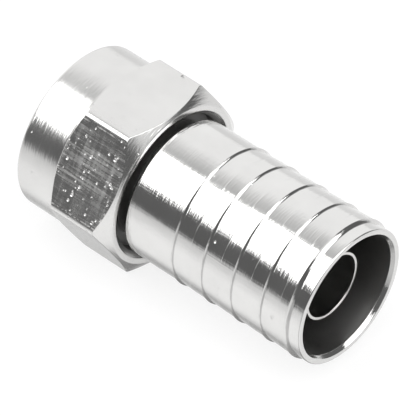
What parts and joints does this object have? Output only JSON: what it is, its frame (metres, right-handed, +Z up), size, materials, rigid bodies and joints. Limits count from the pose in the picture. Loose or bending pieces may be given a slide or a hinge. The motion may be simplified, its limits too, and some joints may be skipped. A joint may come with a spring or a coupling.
{
  "type": "crimp coaxial f connector",
  "caption": "Crimp-on coaxial F plug: loose hexagonal coupling nut with a round collar, and a thin ringed crimp sleeve around an inner post tube.",
  "frame": {"origin": "on the connector's axis, in the front face of the inner post's flange, where the mating socket's end closes", "axes": "+X along the axis from the nut's open end to the sleeve's mouth where the cable enters, +Z up, with a flat of the hexagon at the bottom"},
  "size_m": [0.0215, 0.0128, 0.0112],
  "materials": {
    "nut_plating": "bright nickel plate on turned brass hexagon bar",
    "sleeve_plating": "bright nickel plate on turned and rolled brass",
    "post_plating": "nickel plate on turned brass tube"
  },
  "bodies": {
    "sleeve_and_post": {"crimp_sleeve": "sleeve_plating", "inner_post": "post_plating"},
    "nut": {"coupling_nut": "nut_plating"}
  },
  "joints": [
    {"name": "nut_spin", "type": "hinge", "parent": "sleeve_and_post", "child": "nut", "pos_m": [0, 0, 0], "axis": [1, 0, 0], "continuous": true}
  ]
}
